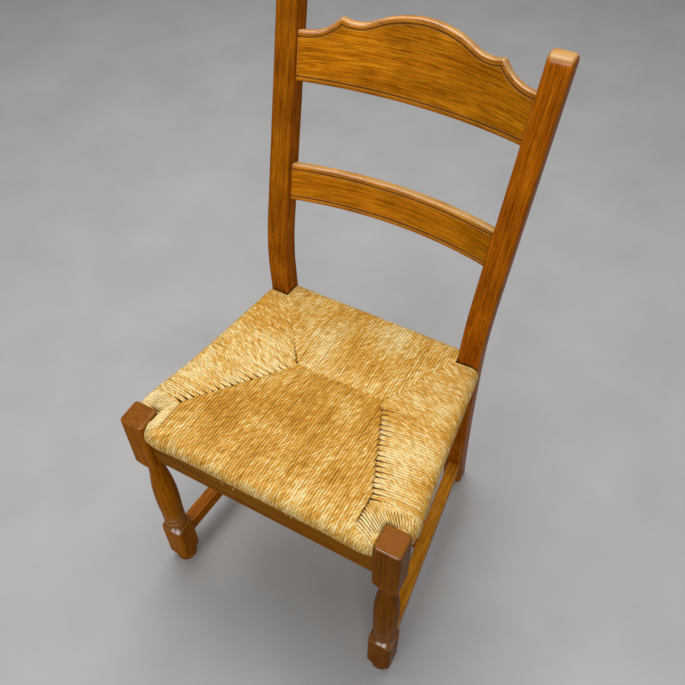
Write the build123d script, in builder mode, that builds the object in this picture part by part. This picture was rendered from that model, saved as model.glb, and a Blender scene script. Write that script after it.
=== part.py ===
from build123d import *
import os
from math import asin, atan2, cos, radians, sin, sqrt, tan

# Oak ladder-back dining chair with a rush seat woven over its rails.
# Millimetres; +X is the right side seen from the front, +Y the back, +Z up.
# Depths are measured back from the front faces of the front legs.

# Front legs, turned from square blanks
front_width = 469.0
leg_square = 42.0
leg_height = 470.0
leg_corner_round = 6.0
leg_top_round = 5.0
upper_block_length = 101.0
upper_shoulder_height = 24.0
lower_block_bottom = 22.0
lower_block_length = 104.0
lower_shoulder_height = 20.0
lower_round_height = 28.0
shoulder_tilt = radians(30.0)
neck_radius = 13.0
belly_radius = 20.7
belly_rise = 55.0
belly_share = 0.55
vase_foot_radius = 19.4
ring_count = 3
ring_radius = 19.6
ring_height = 12.5
ring_gap = 2.0
ring_gap_radius = 16.5
foot_radius = 19.0
foot_top_radius = 20.5

# Rear posts, sawn to a sabre curve and raked above the seat
rear_width = 396.0
post_width = 37.0
post_top_width = 35.4
post_depth = 36.0
post_front_depth = 370.0
post_bend_above_seat = 10.0
post_flare_below_seat = 11.0
post_flare = 0.034
post_flare_radius = 1500.0
post_foot_splay = 43.0
post_bend_radius = 445.0
post_rake = radians(15.0)
post_upper_length = 362.0
post_edge_round = 6.0
post_top_round = 14.0

# Crest rail and back slat, bowed in plan and set into the raked posts
rail_inset = 9.0
rail_thickness = 16.0
rail_bow = 35.0
slat_bottom = 38.0
slat_height = 63.0
crest_bottom = 232.0
crest_end_height = 74.0
crest_apex_height = 121.0
crest_arch_radius = 166.0
crest_arch_half = 77.0
crest_scoop_length = 51.0
crest_cusp_height = 100.5
crest_end_flat = 5.0
crest_cusp_round = 5.0
bead_width = 7.0
bead_round = 4.0
groove_width = 3.0
groove_depth = 2.4

# Rush seat and the rails inside it
seat_below_leg_top = 9.0
seat_slope = radians(4.0)
rush_thickness = 7.0
seat_rail_depth = 26.0
seat_rail_height = 22.0
seat_rail_round = 8.0
rush_rear_overhang = 5.0
ridge_depth = 240.0
ridge_offset = 14.5
ridge_length = 151.0
ridge_half_thickness = 12.0
rush_crown = 18.5
rush_belly = 16.5
stuffing_half_thickness = 9.0
stuffing_tip_half_thickness = 4.5
stuffing_reach = 0.82
stuffing_inset = 3.0

# Apron below the front rail, and the stretchers
apron_inset = 9.0
apron_thickness = 18.0
apron_below_leg_top = 100.0
apron_round = 2.0
stretcher_width = 17.0
stretcher_height = 25.0
stretcher_middle = 75.0
stretcher_round = 2.5
cross_stretcher_depth = 216.0

# Mortise and tenon joints
tenon_thickness = 9.0
tenon_shoulder = 4.0
tenon_length = 18.0
back_tenon_length = 20.0
cross_tenon_length = 9.0
seat_tenon_offset = 5.0
joint_clearance = 0.15
soft_clearance = 0.3

# Places worked out from the sizes above
front_inner = front_width / 2 - leg_square
seat_front_height = leg_height - seat_below_leg_top
upper_block_bottom = leg_height - upper_block_length
apron_bottom = leg_height - apron_below_leg_top
post_straight_height = seat_front_height + post_bend_above_seat
post_flare_height = seat_front_height - post_flare_below_seat
ridge_left = ridge_offset - ridge_length / 2
ridge_right = ridge_offset + ridge_length / 2
rear_inner = rear_width / 2 - post_width
rake_cos = cos(post_rake)
rake_sin = sin(post_rake)
bend_end_depth = post_front_depth + post_bend_radius * (1 - rake_cos)
bend_end_height = post_straight_height + post_bend_radius * rake_sin
bead_loss = bead_round * (rake_cos + rake_sin - 1)
crest_top = crest_bottom + crest_apex_height
crest_end = crest_bottom + crest_end_height
overall_depth = (
    bend_end_depth + crest_top * rake_sin
    + (rail_inset + rail_bow + rail_thickness) * rake_cos - bead_loss
)
front_y = -overall_depth / 2
foot_arc_radius = (post_straight_height**2 + post_foot_splay**2) / (2 * post_foot_splay)
post_top_height = bend_end_height + post_upper_length * rake_cos
post_flare_rise = post_top_height - post_flare_height
reach = 2 * max(front_width, overall_depth, post_top_height)

rush_half_thickness = seat_rail_height / 2 + rush_thickness
rail_middle_height = seat_front_height - rush_half_thickness
seat_right = Vector(1, 0, 0)
seat_back = Vector(0, cos(seat_slope), -sin(seat_slope))
seat_up = Vector(0, sin(seat_slope), cos(seat_slope))
block_back_y = front_y + leg_square
post_front_y = front_y + post_front_depth
rear_edge_depth = (post_front_depth + post_depth) / cos(seat_slope)
side_front_half = front_width / 2
side_rear_half = rear_width / 2 + rush_rear_overhang
side_angle = atan2(side_front_half - side_rear_half, post_front_depth - leg_square)


def side_half(depth):
    """Half width of the rush at a depth behind the front faces."""
    return side_front_half - (depth - leg_square) * tan(side_angle)


def seat_point(x, depth):
    """A point on the seat's middle plane, through the middles of the rails."""
    return Vector(x, front_y, rail_middle_height) + seat_back * depth


def edge_plane(point, inward):
    """A section plane across a seat edge: local x runs inwards, local y up."""
    return Plane(origin=point, x_dir=inward, z_dir=inward.cross(seat_up))


# Each seat edge has a section plane and a distance from its edge to the ridge
side_middle_depth = (leg_square + post_front_depth) / 2
side_in_right = seat_right * -cos(side_angle) - seat_back * sin(side_angle)
side_in_left = seat_right * cos(side_angle) - seat_back * sin(side_angle)
edges_of_seat = {
    "front": (edge_plane(seat_point(0, 0), seat_back), ridge_depth),
    "rear": (
        edge_plane(seat_point(0, rear_edge_depth), seat_back * -1),
        rear_edge_depth - ridge_depth,
    ),
    "left": (
        edge_plane(seat_point(-side_half(side_middle_depth), side_middle_depth), side_in_left),
        (side_half(ridge_depth) + ridge_left) * cos(side_angle),
    ),
    "right": (
        edge_plane(seat_point(side_half(side_middle_depth), side_middle_depth), side_in_right),
        (side_half(ridge_depth) - ridge_right) * cos(side_angle),
    ),
}


def long_bar(plane, width, height, corner=0.0):
    """A bar through a section plane, long enough to be cut to its place."""
    with BuildPart() as bar:
        with BuildSketch(plane):
            if corner:
                RectangleRounded(width, height, corner)
            else:
                Rectangle(width, height)
        extrude(amount=reach, both=True)
    return bar.part


def plan_block(x_low, x_high, y_low, y_high):
    """An upright block between two X and two Y values."""
    with BuildPart() as block:
        with Locations(((x_low + x_high) / 2, (y_low + y_high) / 2, 0)):
            Box(x_high - x_low, y_high - y_low, 2 * reach)
    return block.part


def shifted(plane, x, y):
    """The same section plane with its origin moved within itself."""
    return Plane(origin=plane.from_local_coords((x, y, 0)), x_dir=plane.x_dir, z_dir=plane.z_dir)


# The posts' side profile, full width, which also trims what meets the posts
with BuildPart() as post_side:
    with BuildSketch(Plane.YZ) as post_profile:
        with BuildLine():
            front_foot_y = post_front_y + post_foot_splay
            back_arc = foot_arc_radius - post_depth
            back_drop = foot_arc_radius - sqrt(back_arc**2 - post_straight_height**2)
            centre_y = post_front_y + foot_arc_radius
            mid = post_straight_height / 2
            front_mid_y = centre_y - sqrt(foot_arc_radius**2 - mid**2)
            back_mid_y = centre_y - sqrt(back_arc**2 - mid**2)
            bend_front = (front_y + bend_end_depth, bend_end_height)
            bend_back = (
                bend_front[0] + post_depth * rake_cos,
                bend_front[1] - post_depth * rake_sin,
            )
            top_front = (
                bend_front[0] + post_upper_length * rake_sin,
                bend_front[1] + post_upper_length * rake_cos,
            )
            top_back = (
                top_front[0] + post_depth * rake_cos,
                top_front[1] - post_depth * rake_sin,
            )
            start = (post_front_y, post_straight_height)
            start_back = (post_front_y + post_depth, post_straight_height)
            ThreePointArc((front_foot_y, 0), (front_mid_y, mid), start)
            TangentArc(start, bend_front, tangent=(0, 1))
            Polyline(bend_front, top_front, top_back, bend_back)
            TangentArc(start_back, bend_back, tangent=(0, 1))
            ThreePointArc(start_back, (back_mid_y, mid), (post_front_y + back_drop, 0))
            Line((post_front_y + back_drop, 0), (front_foot_y, 0))
        make_face()
        fillet(post_profile.vertices().sort_by(Axis.Y)[-2:], post_top_round)
    extrude(amount=front_width, both=True)


def post_inner_half(height):
    """Half distance between the posts' inner faces above the seat."""
    outer = rear_width / 2 + post_flare * (height - post_flare_height)
    width = post_width + (post_top_width - post_width) * (height - post_flare_height) / post_flare_rise
    return outer - width


def between_posts(height_low, height_high, extra):
    """The space between the posts' inner faces, widened by extra at each side."""
    with BuildPart() as gap:
        with BuildSketch(Plane.XZ):
            low = post_inner_half(height_low) + extra
            high = post_inner_half(height_high) + extra
            Polygon(
                (-low, height_low), (low, height_low), (high, height_high), (-high, height_high),
                align=None,
            )
        extrude(amount=reach, both=True)
    return gap.part


# Planes of the raked back: one faces the sitter, one lies across the posts
back_origin = (0, front_y + bend_end_depth, bend_end_height)
back_face = Plane(origin=back_origin, x_dir=(1, 0, 0), z_dir=(0, -rake_cos, rake_sin))
back_plan = Plane(origin=back_origin, x_dir=(1, 0, 0), z_dir=(0, rake_sin, rake_cos))
bow_half_chord = post_inner_half(bend_end_height + crest_end * rake_cos)
bow_radius = (bow_half_chord**2 + rail_bow**2) / (2 * rail_bow)
rail_span = bow_half_chord + back_tenon_length
crosswise_share = 0.3


def bow_line(depth):
    """Ends and middle of a bowed line at a depth behind the rails' front face."""
    radius = bow_radius - depth
    middle = rail_inset + rail_bow + depth
    end = middle - (radius - sqrt(radius**2 - rail_span**2))
    return (-rail_span, end), (0, middle), (rail_span, end)


def bowed_plate(depth_front, depth_back, low, high):
    """A plate bowed towards the back, between two depths and two heights."""
    with BuildPart() as plate:
        with BuildSketch(back_plan.offset(low)):
            with BuildLine():
                front_line = ThreePointArc(*bow_line(depth_front))
                back_line = ThreePointArc(*bow_line(depth_back))
                Line(front_line @ 0, back_line @ 0)
                Line(front_line @ 1, back_line @ 1)
            make_face()
        extrude(amount=high - low)
    return plate.part


def back_tenons(low, high, clearance):
    """The straight tenons at both ends of a back rail."""
    height_low = bend_end_height + low * rake_cos
    half = post_inner_half(height_low)
    depth = rail_inset + tenon_shoulder + tenon_thickness / 2
    with BuildPart() as tenons:
        with BuildSketch(back_plan.offset(low + tenon_shoulder - clearance)):
            for side in (-1, 1):
                with Locations((side * (half + back_tenon_length / 2), depth)):
                    Rectangle(back_tenon_length + 2 * clearance, tenon_thickness + 2 * clearance)
        extrude(amount=high - low - 2 * tenon_shoulder + 2 * clearance)
    return tenons.part


def crosswise(edge):
    """True for an edge that runs across the chair at its middle."""
    return abs((edge % 0.5).X) > crosswise_share


def moulded_rail(outline, low, high, tenon_high):
    """A bowed back rail with a bead and groove; outline(inset) draws its face."""
    height_low = bend_end_height + low * rake_cos - rail_span
    height_high = post_top_height + rail_span
    with BuildPart() as groove:
        add(bowed_plate(-groove_depth, groove_depth, low, high))
        with BuildSketch(back_face):
            add(outline(bead_width))
            add(outline(bead_width + groove_width), mode=Mode.SUBTRACT)
        extrude(amount=reach, both=True, mode=Mode.INTERSECT)
    with BuildPart() as rail:
        add(bowed_plate(0, rail_thickness, low, high))
        with BuildSketch(back_face):
            add(outline(0))
        extrude(amount=reach, both=True, mode=Mode.INTERSECT)
        fillet(rail.edges().filter_by(crosswise), bead_round)
        add(groove.part, mode=Mode.SUBTRACT)
        add(between_posts(height_low, height_high, 0), mode=Mode.INTERSECT)
        add(back_tenons(low, tenon_high, 0))
    return rail.part


def slat_outline(inset):
    """The slat's face, with its long edges moved in by inset."""
    with BuildSketch() as face:
        with Locations((0, slat_bottom + slat_height / 2)):
            Rectangle(2 * rail_span, slat_height - 2 * inset)
    return face.sketch


# The crest's top edge: a middle arch, a hollow to a small cusp, and a scooped end
crest_scoop_half = bow_half_chord - crest_end_flat
crest_cusp_half = crest_scoop_half - crest_scoop_length
arch_centre = crest_top - crest_arch_radius
arch_slope = asin(crest_arch_half / crest_arch_radius)
arch_normal = Vector(sin(arch_slope), cos(arch_slope))
arch_end = Vector(0, arch_centre) + arch_normal * crest_arch_radius
cusp = Vector(crest_cusp_half, crest_bottom + crest_cusp_height)
hollow_chord = cusp - arch_end
hollow_radius = hollow_chord.dot(hollow_chord) / (2 * hollow_chord.dot(arch_normal))
hollow_centre = arch_end + arch_normal * hollow_radius
scoop_chord = cusp - Vector(crest_scoop_half, crest_end)
scoop_radius = scoop_chord.dot(scoop_chord) / (2 * scoop_chord.Y)
scoop_centre = Vector(crest_scoop_half, crest_end + scoop_radius)


def inset_cusp(inset):
    """Where the hollow and the scoop meet once both are moved in by inset."""
    between = scoop_centre - hollow_centre
    first = hollow_radius + inset
    second = scoop_radius + inset
    along = (first**2 - second**2 + between.length**2) / (2 * between.length)
    aside = sqrt(first**2 - along**2)
    way = between.normalized()
    return hollow_centre + way * along + Vector(way.Y, -way.X) * aside


def crest_outline(inset):
    """The crest's face, with its long edges moved in by inset."""
    with BuildSketch() as face:
        with BuildLine():
            shoulder = Vector(0, arch_centre) + arch_normal * (crest_arch_radius - inset)
            arch = TangentArc((0, crest_top - inset), shoulder, tangent=(1, 0))
            TangentArc(shoulder, inset_cusp(inset), tangent=arch % 1)
            TangentArc((crest_scoop_half, crest_end - inset), inset_cusp(inset), tangent=(-1, 0))
            Polyline(
                (crest_scoop_half, crest_end - inset), (rail_span, crest_end - inset),
                (rail_span, crest_bottom + inset), (0, crest_bottom + inset),
            )
            mirror(about=Plane.YZ)
        make_face()
        if inset == 0:
            corners = face.vertices().filter_by(lambda v: abs(abs(v.X) - crest_cusp_half) < crest_cusp_round)
            fillet(corners, crest_cusp_round)
    return face.sketch


slat_top = slat_bottom + slat_height
crest_rail = moulded_rail(crest_outline, crest_bottom, crest_top, crest_end)
back_slat = moulded_rail(slat_outline, slat_bottom, slat_top, slat_top)

# Seat rails: the tenons sit off the middle so that they pass each other in the legs
x_rails = {"front": front_inner, "rear": rear_inner}
side_tenon_front = block_back_y - tenon_length
side_tenon_rear = post_front_y + tenon_length
rail_middle = rush_thickness + seat_rail_depth / 2
seat_tenon_height = seat_rail_height - 2 * tenon_shoulder


def seat_tenon(edge, clearance):
    """A seat rail's tenon bar, from the bottom of one mortise to the other."""
    plane = shifted(edges_of_seat[edge][0], rail_middle - seat_tenon_offset, 0)
    bar = long_bar(plane, tenon_thickness + 2 * clearance, seat_tenon_height + 2 * clearance)
    with BuildPart() as tenon:
        add(bar)
        if edge in x_rails:
            half = x_rails[edge] + tenon_length + clearance
            add(plan_block(-half, half, -reach, reach), mode=Mode.INTERSECT)
        else:
            low = side_tenon_front - clearance
            high = side_tenon_rear + clearance
            add(plan_block(-reach, reach, low, high), mode=Mode.INTERSECT)
    return tenon.part


seat_rails = {}
for edge, (plane, edge_reach) in edges_of_seat.items():
    with BuildPart() as seat_rail:
        add(long_bar(shifted(plane, rail_middle, 0), seat_rail_depth, seat_rail_height, seat_rail_round))
        if edge in x_rails:
            half = x_rails[edge]
            add(plan_block(-half, half, -reach, reach), mode=Mode.INTERSECT)
        else:
            add(plan_block(-reach, reach, block_back_y, post_front_y + post_depth / 2), mode=Mode.INTERSECT)
            add(post_side.part, mode=Mode.SUBTRACT)
        add(seat_tenon(edge, 0))
    seat_rails[edge] = seat_rail.part

# Plan of the four rush panels, which meet along the seams and the middle ridge
corner_front = (front_inner - soft_clearance, block_back_y + soft_clearance)
corner_rear = (rear_inner - soft_clearance, post_front_y - soft_clearance)
ridge_y = front_y + ridge_depth * cos(seat_slope)
far = front_width
panel_plans = {
    "front": [
        (-corner_front[0], front_y - far), (corner_front[0], front_y - far), corner_front,
        (ridge_right, ridge_y), (ridge_left, ridge_y), (-corner_front[0], corner_front[1]),
    ],
    "rear": [
        (-corner_rear[0], post_front_y + far), (-corner_rear[0], corner_rear[1]), (ridge_left, ridge_y),
        (ridge_right, ridge_y), corner_rear, (corner_rear[0], post_front_y + far),
    ],
    "left": [
        (-far, corner_front[1]), (-corner_front[0], corner_front[1]), (ridge_left, ridge_y),
        (-corner_rear[0], corner_rear[1]), (-far, corner_rear[1]),
    ],
    "right": [
        (far, corner_front[1]), corner_front, (ridge_right, ridge_y), corner_rear, (far, corner_rear[1]),
    ],
}


def stuffing_points(edge_reach, clearance):
    """Section of the packing between the rail and the ridge."""
    start = rail_middle + seat_rail_depth / 2 + soft_clearance - clearance
    end = edge_reach * stuffing_reach + clearance
    thick = stuffing_half_thickness + clearance
    tip = stuffing_tip_half_thickness + clearance
    return [(start, -thick), (end, -tip), (end, tip), (start, thick)]


rush_panels = {}
stuffings = {}
for edge, (plane, edge_reach) in edges_of_seat.items():
    with BuildPart() as rush_panel:
        with BuildSketch(plane):
            with BuildLine():
                nose = rush_half_thickness
                middle = edge_reach / 2
                TangentArc((nose, nose), (0, 0), tangent=(-1, 0))
                TangentArc((0, 0), (nose, -nose), tangent=(0, -1))
                ThreePointArc((nose, nose), (middle, rush_crown), (edge_reach, ridge_half_thickness))
                ThreePointArc((nose, -nose), (middle, -rush_belly), (edge_reach, -ridge_half_thickness))
                Line((edge_reach, -ridge_half_thickness), (edge_reach, ridge_half_thickness))
            make_face()
            with Locations((rail_middle, 0)):
                RectangleRounded(
                    seat_rail_depth + 2 * soft_clearance, seat_rail_height + 2 * soft_clearance,
                    seat_rail_round + soft_clearance, mode=Mode.SUBTRACT,
                )
            Polygon(*stuffing_points(edge_reach, soft_clearance), align=None, mode=Mode.SUBTRACT)
        extrude(amount=reach, both=True)
        with BuildSketch(Plane.XY):
            Polygon(*panel_plans[edge], align=None)
        extrude(amount=reach, mode=Mode.INTERSECT)
    rush_panels[edge] = rush_panel.part
    with BuildPart() as stuffing:
        with BuildSketch(plane):
            Polygon(*stuffing_points(edge_reach, 0), align=None)
        extrude(amount=reach, both=True)
        with BuildSketch(Plane.XY):
            Polygon(*panel_plans[edge], align=None)
            offset(amount=-stuffing_inset)
        extrude(amount=reach, mode=Mode.INTERSECT)
    stuffings[edge] = stuffing.part

# Apron under the front rail
apron_drop = (apron_inset + apron_thickness) * sin(seat_slope)
apron_top = rail_middle_height - apron_drop - rush_half_thickness - soft_clearance
apron_height = apron_top - apron_bottom
apron_plane = Plane(
    origin=(0, front_y + apron_inset + apron_thickness / 2, apron_bottom + apron_height / 2),
    x_dir=(0, 1, 0), z_dir=(1, 0, 0),
)


def apron_tenon(clearance):
    """The apron's tenon bar, through both front legs' mortises."""
    half = front_inner + tenon_length + clearance
    with BuildPart() as tenon:
        add(long_bar(
            apron_plane, tenon_thickness + 2 * clearance,
            apron_height - 4 * tenon_shoulder + 2 * clearance,
        ))
        add(plan_block(-half, half, -reach, reach), mode=Mode.INTERSECT)
    return tenon.part


with BuildPart() as front_apron:
    add(long_bar(apron_plane, apron_thickness, apron_height, apron_round))
    add(plan_block(-front_inner, front_inner, -reach, reach), mode=Mode.INTERSECT)
    add(apron_tenon(0))

# Side stretchers from the lower blocks to the posts, and the cross stretcher between them
leg_middle = (front_width - leg_square) / 2
post_middle = (rear_width - post_width) / 2
stretcher_drop = post_straight_height - stretcher_middle
stretcher_rear_y = post_front_y + foot_arc_radius - sqrt(foot_arc_radius**2 - stretcher_drop**2)


def stretcher_plane(side):
    """Section plane of a side stretcher, at the front leg's back face."""
    run = Vector(side * (post_middle - leg_middle), stretcher_rear_y - block_back_y, 0)
    along = run.normalized()
    return Plane(
        origin=(side * leg_middle, block_back_y, stretcher_middle),
        x_dir=(along.Y, -along.X, 0), z_dir=along,
    )


def stretcher_tenon(side, clearance):
    """A side stretcher's tenon bar, from mortise to mortise."""
    with BuildPart() as tenon:
        add(long_bar(
            stretcher_plane(side), tenon_thickness + 2 * clearance,
            stretcher_height - 2 * tenon_shoulder + 2 * clearance,
        ))
        low = block_back_y - tenon_length - clearance
        high = stretcher_rear_y + tenon_length + clearance
        add(plan_block(-reach, reach, low, high), mode=Mode.INTERSECT)
    return tenon.part


cross_y = front_y + cross_stretcher_depth
cross_share = (cross_y - block_back_y) / (stretcher_rear_y - block_back_y)
cross_half = leg_middle + (post_middle - leg_middle) * cross_share
cross_plane = Plane(origin=(0, cross_y, stretcher_middle), x_dir=(0, 1, 0), z_dir=(1, 0, 0))
cross_tenon_half = cross_half - stretcher_width / 2 + cross_tenon_length


def cross_tenon(clearance):
    """The cross stretcher's tenon bar, into both side stretchers."""
    half = cross_tenon_half + clearance
    with BuildPart() as tenon:
        add(long_bar(
            cross_plane, tenon_thickness + 2 * clearance,
            stretcher_height - 4 * tenon_shoulder + 2 * clearance,
        ))
        add(plan_block(-half, half, -reach, reach), mode=Mode.INTERSECT)
    return tenon.part


side_stretchers = {}
for side, side_name in ((-1, "left"), (1, "right")):
    with BuildPart() as side_stretcher:
        add(long_bar(stretcher_plane(side), stretcher_width, stretcher_height, stretcher_round))
        add(plan_block(-reach, reach, block_back_y, stretcher_rear_y + post_depth / 2), mode=Mode.INTERSECT)
        add(post_side.part, mode=Mode.SUBTRACT)
        add(stretcher_tenon(side, 0))
        add(cross_tenon(joint_clearance), mode=Mode.SUBTRACT)
    side_stretchers[side_name] = side_stretcher.part

with BuildPart() as cross_stretcher:
    add(long_bar(cross_plane, stretcher_width, stretcher_height - 2 * tenon_shoulder, stretcher_round))
    add(plan_block(-cross_half, cross_half, -reach, reach), mode=Mode.INTERSECT)
    for side in (-1, 1):
        add(
            long_bar(stretcher_plane(side), stretcher_width, stretcher_height),
            mode=Mode.SUBTRACT,
        )
    add(cross_tenon(0))

# Front legs: a square blank cut to the turned profile, then mortised.
# The vase swells from its foot to the belly, then turns hollow on its way to the neck.
corner_radius = leg_square / sqrt(2) + leg_corner_round
lower_block_top = lower_block_bottom + lower_block_length
ring_start = lower_block_top + ring_gap
vase_start = ring_start + ring_count * (ring_height + ring_gap)
belly_height = vase_start + belly_rise
neck_height = upper_block_bottom - upper_shoulder_height
belly_point = Vector(belly_radius, belly_height)
neck_point = Vector(neck_radius, neck_height)
vase_chord = neck_point - belly_point
vase_turn = belly_point + vase_chord * belly_share
tilt_out = cos(shoulder_tilt)
tilt_up = sin(shoulder_tilt)
lower_corner_low = lower_block_bottom + lower_round_height
lower_corner_high = lower_block_top - lower_shoulder_height

front_legs = {}
for side, side_name in ((-1, "left"), (1, "right")):
    leg_x = side * leg_middle
    leg_y = front_y + leg_square / 2
    leg_axis = Axis((leg_x, leg_y, 0), (0, 0, 1))
    with BuildPart() as front_leg:
        with BuildSketch(Plane((leg_x, leg_y, 0))):
            RectangleRounded(leg_square, leg_square, leg_corner_round)
        extrude(amount=leg_height)
        fillet(front_leg.faces().sort_by(Axis.Z)[-1].edges(), leg_top_round)
        with BuildSketch(Plane(origin=(leg_x, leg_y, 0), x_dir=(1, 0, 0), z_dir=(0, -1, 0))):
            with BuildLine():
                Polyline((0, 0), (foot_radius, 0), (foot_top_radius, lower_block_bottom))
                TangentArc(
                    (corner_radius, lower_corner_low), (foot_top_radius, lower_block_bottom), tangent=(0, -1),
                )
                Line((corner_radius, lower_corner_low), (corner_radius, lower_corner_high))
                TangentArc(
                    (ring_gap_radius, lower_block_top), (corner_radius, lower_corner_high),
                    tangent=(tilt_out, -tilt_up),
                )
                Line((ring_gap_radius, lower_block_top), (ring_gap_radius, ring_start))
                for ring in range(ring_count):
                    low = ring_start + ring * (ring_height + ring_gap)
                    high = low + ring_height
                    ThreePointArc(
                        (ring_gap_radius, low), (ring_radius, low + ring_height / 2), (ring_gap_radius, high),
                    )
                    Line((ring_gap_radius, high), (ring_gap_radius, high + ring_gap))
                Line((ring_gap_radius, vase_start), (vase_foot_radius, vase_start))
                TangentArc(belly_point, (vase_foot_radius, vase_start), tangent=(0, -1))
                TangentArc(belly_point, vase_turn, tangent=(0, 1))
                TangentArc(neck_point, vase_turn, tangent=(0, -1))
                TangentArc(neck_point, (corner_radius, upper_block_bottom), tangent=(tilt_out, tilt_up))
                Polyline((corner_radius, upper_block_bottom), (corner_radius, leg_height), (0, leg_height), (0, 0))
            make_face()
        revolve(axis=leg_axis, mode=Mode.INTERSECT)
        add(seat_tenon("front", joint_clearance), mode=Mode.SUBTRACT)
        add(seat_tenon(side_name, joint_clearance), mode=Mode.SUBTRACT)
        add(apron_tenon(joint_clearance), mode=Mode.SUBTRACT)
        add(stretcher_tenon(side, joint_clearance), mode=Mode.SUBTRACT)
    front_legs[side_name] = front_leg.part

# Rear posts: the side profile cut to a flared front profile, then rounded and mortised
rear_posts = {}
for side, side_name in ((-1, "left"), (1, "right")):
    with BuildPart() as rear_post:
        add(post_side.part)
        with BuildSketch(Plane.XZ) as post_front:
            outer = side * rear_width / 2
            inner = side * rear_inner
            outer_top = outer + side * post_flare * post_flare_rise
            inner_top = side * post_inner_half(post_top_height)
            Polygon(
                (outer, 0), (outer, post_flare_height), (outer_top, post_top_height),
                (inner_top, post_top_height), (inner, post_flare_height), (inner, 0),
                align=None,
            )
            bends = post_front.vertices().filter_by(lambda v: abs(v.Y - post_flare_height) < post_edge_round)
            fillet(bends, post_flare_radius)
        extrude(amount=reach, both=True, mode=Mode.INTERSECT)
        around = rear_post.edges().filter_by(lambda edge: not crosswise(edge))
        fillet(around.filter_by(lambda edge: edge.center().Z > post_edge_round), post_edge_round)
        add(seat_tenon("rear", joint_clearance), mode=Mode.SUBTRACT)
        add(seat_tenon(side_name, joint_clearance), mode=Mode.SUBTRACT)
        add(stretcher_tenon(side, joint_clearance), mode=Mode.SUBTRACT)
        add(back_tenons(crest_bottom, crest_end, joint_clearance), mode=Mode.SUBTRACT)
        add(back_tenons(slat_bottom, slat_top, joint_clearance), mode=Mode.SUBTRACT)
    rear_posts[side_name] = rear_post.part

# One file for each piece
nodes = {
    "crest_rail": crest_rail,
    "back_slat": back_slat,
    "front_apron": front_apron.part,
    "cross_stretcher": cross_stretcher.part,
}
for side_name in ("left", "right"):
    nodes[f"front_leg_{side_name}"] = front_legs[side_name]
    nodes[f"rear_post_{side_name}"] = rear_posts[side_name]
    nodes[f"side_stretcher_{side_name}"] = side_stretchers[side_name]
for edge in edges_of_seat:
    nodes[f"seat_rail_{edge}"] = seat_rails[edge]
    nodes[f"rush_panel_{edge}"] = rush_panels[edge]
    nodes[f"rush_stuffing_{edge}"] = stuffings[edge]

os.makedirs("parts", exist_ok=True)
for node_name, piece in nodes.items():
    piece.label = node_name
    export_step(piece, f"parts/{node_name}.step")
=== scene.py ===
import math

import bpy
import numpy as np
from mathutils import Matrix, Vector


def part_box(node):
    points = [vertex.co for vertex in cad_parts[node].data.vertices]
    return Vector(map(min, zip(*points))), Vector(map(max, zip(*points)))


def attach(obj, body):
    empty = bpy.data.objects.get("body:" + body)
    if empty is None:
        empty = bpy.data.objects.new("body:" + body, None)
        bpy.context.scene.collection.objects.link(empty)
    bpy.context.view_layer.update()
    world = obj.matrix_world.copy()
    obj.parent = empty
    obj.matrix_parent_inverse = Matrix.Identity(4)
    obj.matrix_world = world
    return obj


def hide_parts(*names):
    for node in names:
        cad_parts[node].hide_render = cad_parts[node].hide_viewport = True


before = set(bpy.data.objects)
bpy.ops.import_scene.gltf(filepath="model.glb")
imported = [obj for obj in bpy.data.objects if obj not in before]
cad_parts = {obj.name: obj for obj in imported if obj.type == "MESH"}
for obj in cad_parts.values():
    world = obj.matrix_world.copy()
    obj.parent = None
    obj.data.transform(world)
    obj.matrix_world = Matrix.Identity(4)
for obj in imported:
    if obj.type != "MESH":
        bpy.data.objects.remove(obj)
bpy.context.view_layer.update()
rng = np.random.default_rng(11)

# The seat's middle plane, through the middles of its rails, sloping down to the back
FRONT_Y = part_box("front_leg_left")[0].y
SEAT_SLOPE = math.radians(4.0)
RAIL_MIDDLE = 0.443
NOSE = 0.018
SEAT_ORIGIN = np.array((0.0, FRONT_Y, RAIL_MIDDLE))
RIGHT = np.array((1.0, 0.0, 0.0))
BACK = np.array((0.0, math.cos(SEAT_SLOPE), -math.sin(SEAT_SLOPE)))
UP = np.array((0.0, math.sin(SEAT_SLOPE), math.cos(SEAT_SLOPE)))

# Plan of the seat, as across and depth behind the front legs' faces
BLOCK_INNER = 0.1925
BLOCK_DEPTH = 0.042
POST_INNER = 0.161
POST_DEPTH = 0.370
REAR_EDGE = 0.407
SIDE_FRONT = 0.2345
SIDE_REAR = 0.203
RIDGE_DEPTH = 0.240
RIDGE_LEFT = -0.061
RIDGE_RIGHT = 0.090
RIDGE_HALF = 0.012
CROWN_GAIN = 0.0022
FAN_LEFT = (-0.174, 0.074)
FAN_RIGHT = (0.156, 0.067)

# The rush stands up round the front legs, more on the left
CORNER_RISE = {-1: 0.008, 1: 0.006}
CORNER_BULGE = 0.8
CORNER_ROUND = 0.014
CORNER_ACROSS = 0.045
CORNER_ALONG = 0.090

# Side stretchers as stout as the photo shows them: the middles of their ends, as
# across, depth and height
BAR_WIDE = 0.023
BAR_TALL = 0.031
BAR_ROUND = 0.0025
BAR_FRONT = (0.2145, 0.036, 0.0725)
BAR_REAR = (0.1825, 0.412, 0.0775)
BAR_CORNER_POINTS = 5

# Rush strands: half sizes, spacing and how uneven they are
STRAND_PITCH = 0.0046
STRAND_WIDE = 0.00275
STRAND_TALL = 0.0022
STRAND_SIDES = 8
STRAND_STEP = 0.009
STRAND_THICK = (0.90, 1.12)
NOSE_POINTS = 9
END_MARGIN = 0.003
PLACE_SPREAD = 0.00015
SWELL = 0.07
SWELL_RATES = (60, 130)
PHASE_SPAN = 6.3
SWAY_RATES = (25.0, 61.0)
SWAY_SHARES = (0.4, 1.0)
SWAY_ASIDE = 0.00013
SWAY_UP = 0.0002

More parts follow.
